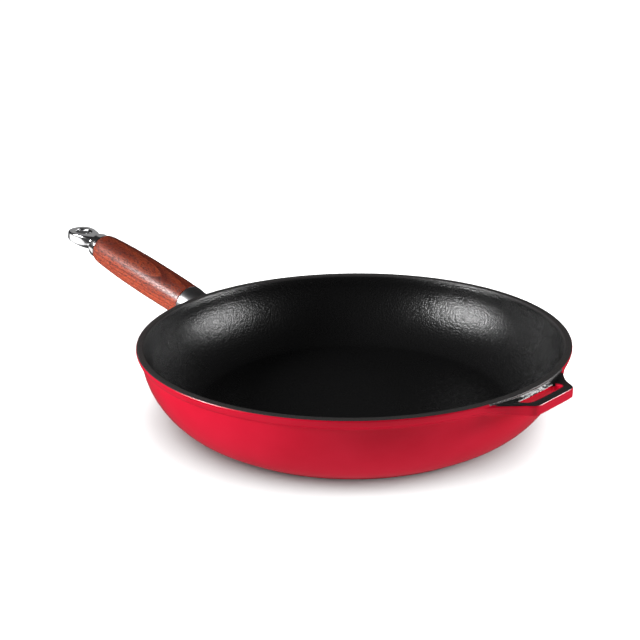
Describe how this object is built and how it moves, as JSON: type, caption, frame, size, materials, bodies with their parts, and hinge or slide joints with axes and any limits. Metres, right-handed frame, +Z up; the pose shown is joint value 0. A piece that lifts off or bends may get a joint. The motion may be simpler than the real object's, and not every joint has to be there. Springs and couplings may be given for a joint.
{
  "type": "cast iron skillet",
  "caption": "Round enamelled cast iron skillet with a sloping wooden grip on a steel rod, a screw-out hanging eye and a cast helper handle with a finger slot.",
  "frame": {"origin": "centre of the pan's flat underside, on the surface it stands on", "axes": "+Z up, +X towards the helper handle, so the long handle points towards -X; the object is mirror-symmetric about the XZ plane"},
  "size_m": [0.4913, 0.29, 0.0756],
  "materials": {
    "cast_iron": "dark ground iron, matt",
    "red_enamel": "glossy vitreous enamel with a faint orange peel",
    "black_enamel": "satin vitreous enamel with a fine pebbled texture",
    "heat_fibre": "pressed fibre, matt",
    "ferrule_steel": "satin stainless steel",
    "oiled_hardwood": "red-brown hardwood, lacquered, with fine dark pores",
    "spring_steel": "blued spring steel",
    "polished_steel": "polished steel",
    "zinc_plated_steel": "bright zinc plate"
  },
  "bodies": {
    "pan": {"pan_casting": "cast_iron", "outer_enamel": "red_enamel", "inner_enamel": "black_enamel", "heat_washer": "heat_fibre", "handle_ferrule": "ferrule_steel", "wooden_grip": "oiled_hardwood", "disc_spring": "spring_steel"},
    "collar": {"end_collar": "polished_steel"},
    "eye_and_rod": {"hanging_eye": "polished_steel", "tension_rod": "zinc_plated_steel"}
  },
  "joints": [
    {"name": "collar_travel", "type": "slide", "parent": "pan", "child": "collar", "axis": [-0.9767, 0, 0.2147], "range_m": [0, 0.01]},
    {"name": "eye_turn", "type": "hinge", "parent": "collar", "child": "eye_and_rod", "pos_m": [-0.29606, 0, 0.06499], "axis": [-0.9767, 0, 0.2147], "range_deg": [0, 2880]}
  ],
  "couplings": [
    {"joint": "eye_turn", "follows": "collar_travel", "rad_per_m": 5026.5}
  ]
}
